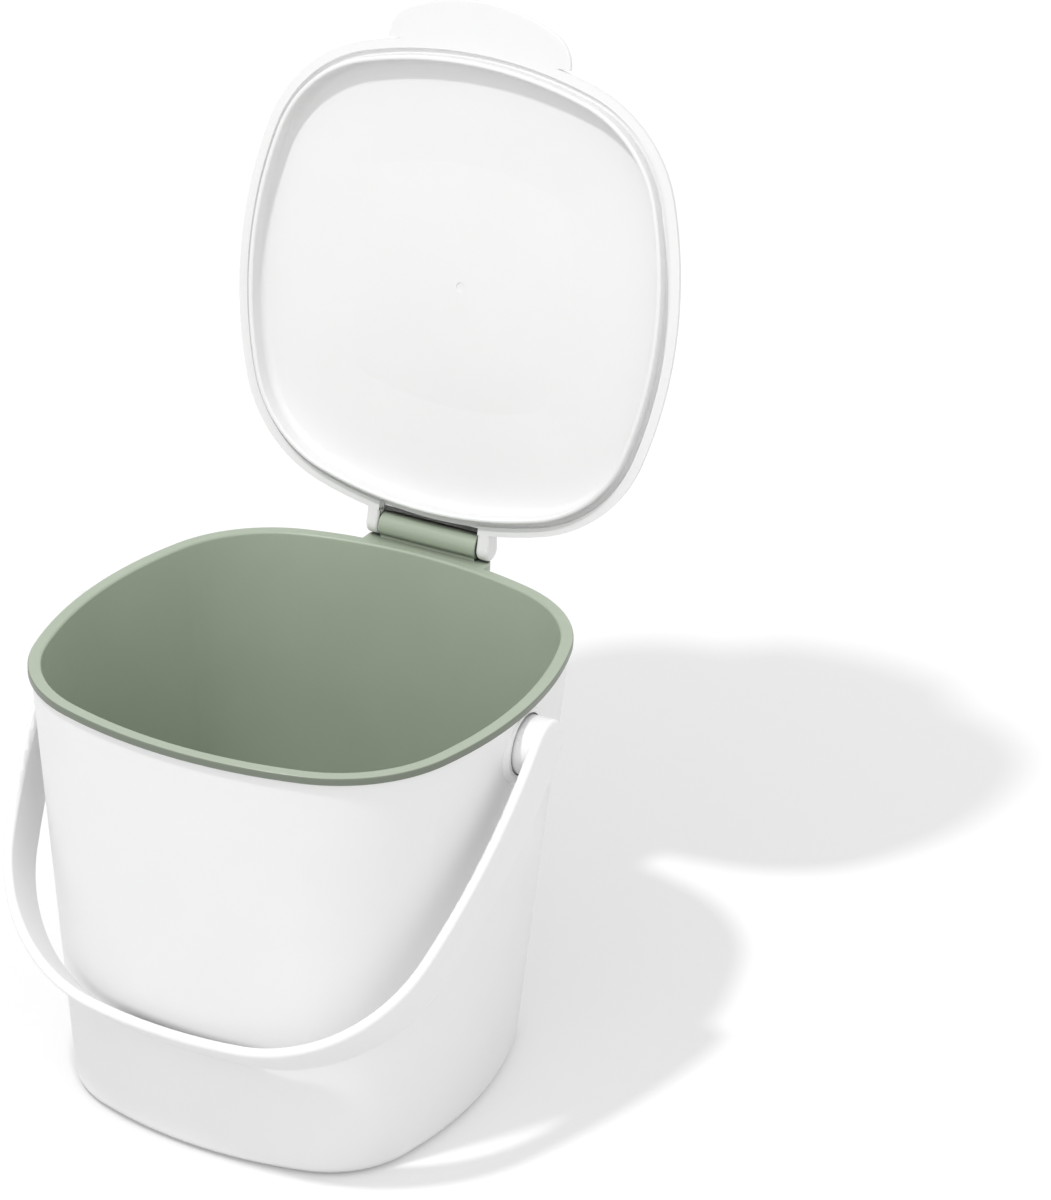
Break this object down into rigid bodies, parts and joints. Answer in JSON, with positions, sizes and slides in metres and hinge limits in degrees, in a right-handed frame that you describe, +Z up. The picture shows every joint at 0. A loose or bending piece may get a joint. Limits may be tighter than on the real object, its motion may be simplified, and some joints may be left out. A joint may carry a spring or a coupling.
{
  "type": "kitchen compost bin",
  "caption": "Tapered kitchen compost bin with a lift-out bucket, a hinged lid that stands open on its stop and a curved strap handle.",
  "frame": {"origin": "middle of the base, on the surface that the bin stands on", "axes": "+Z up, the front of the bin faces -Y, the hinge is at +Y and +X is the right-hand side seen from the front"},
  "size_m": [0.2596, 0.2963, 0.4976],
  "materials": {
    "white_plastic": "satin",
    "sage_plastic": "satin",
    "pin_steel": "brushed"
  },
  "bodies": {
    "bin": {"outer_shell": "white_plastic", "inner_bucket": "sage_plastic"},
    "lid_body": {"lid": "white_plastic", "hinge_pin": "pin_steel"},
    "handle_body": {"handle": "white_plastic", "stud_rings": "pin_steel"}
  },
  "joints": [
    {"name": "lid_hinge", "type": "hinge", "parent": "bin", "child": "lid_body", "pos_m": [0, 0.1263, 0.2328], "axis": [1, 0, 0], "range_deg": [0, 99.3]},
    {"name": "handle_pivot", "type": "hinge", "parent": "bin", "child": "handle_body", "pos_m": [0, 0.002, 0.2056], "axis": [-1, 0, 0], "range_deg": [0, 174]}
  ]
}
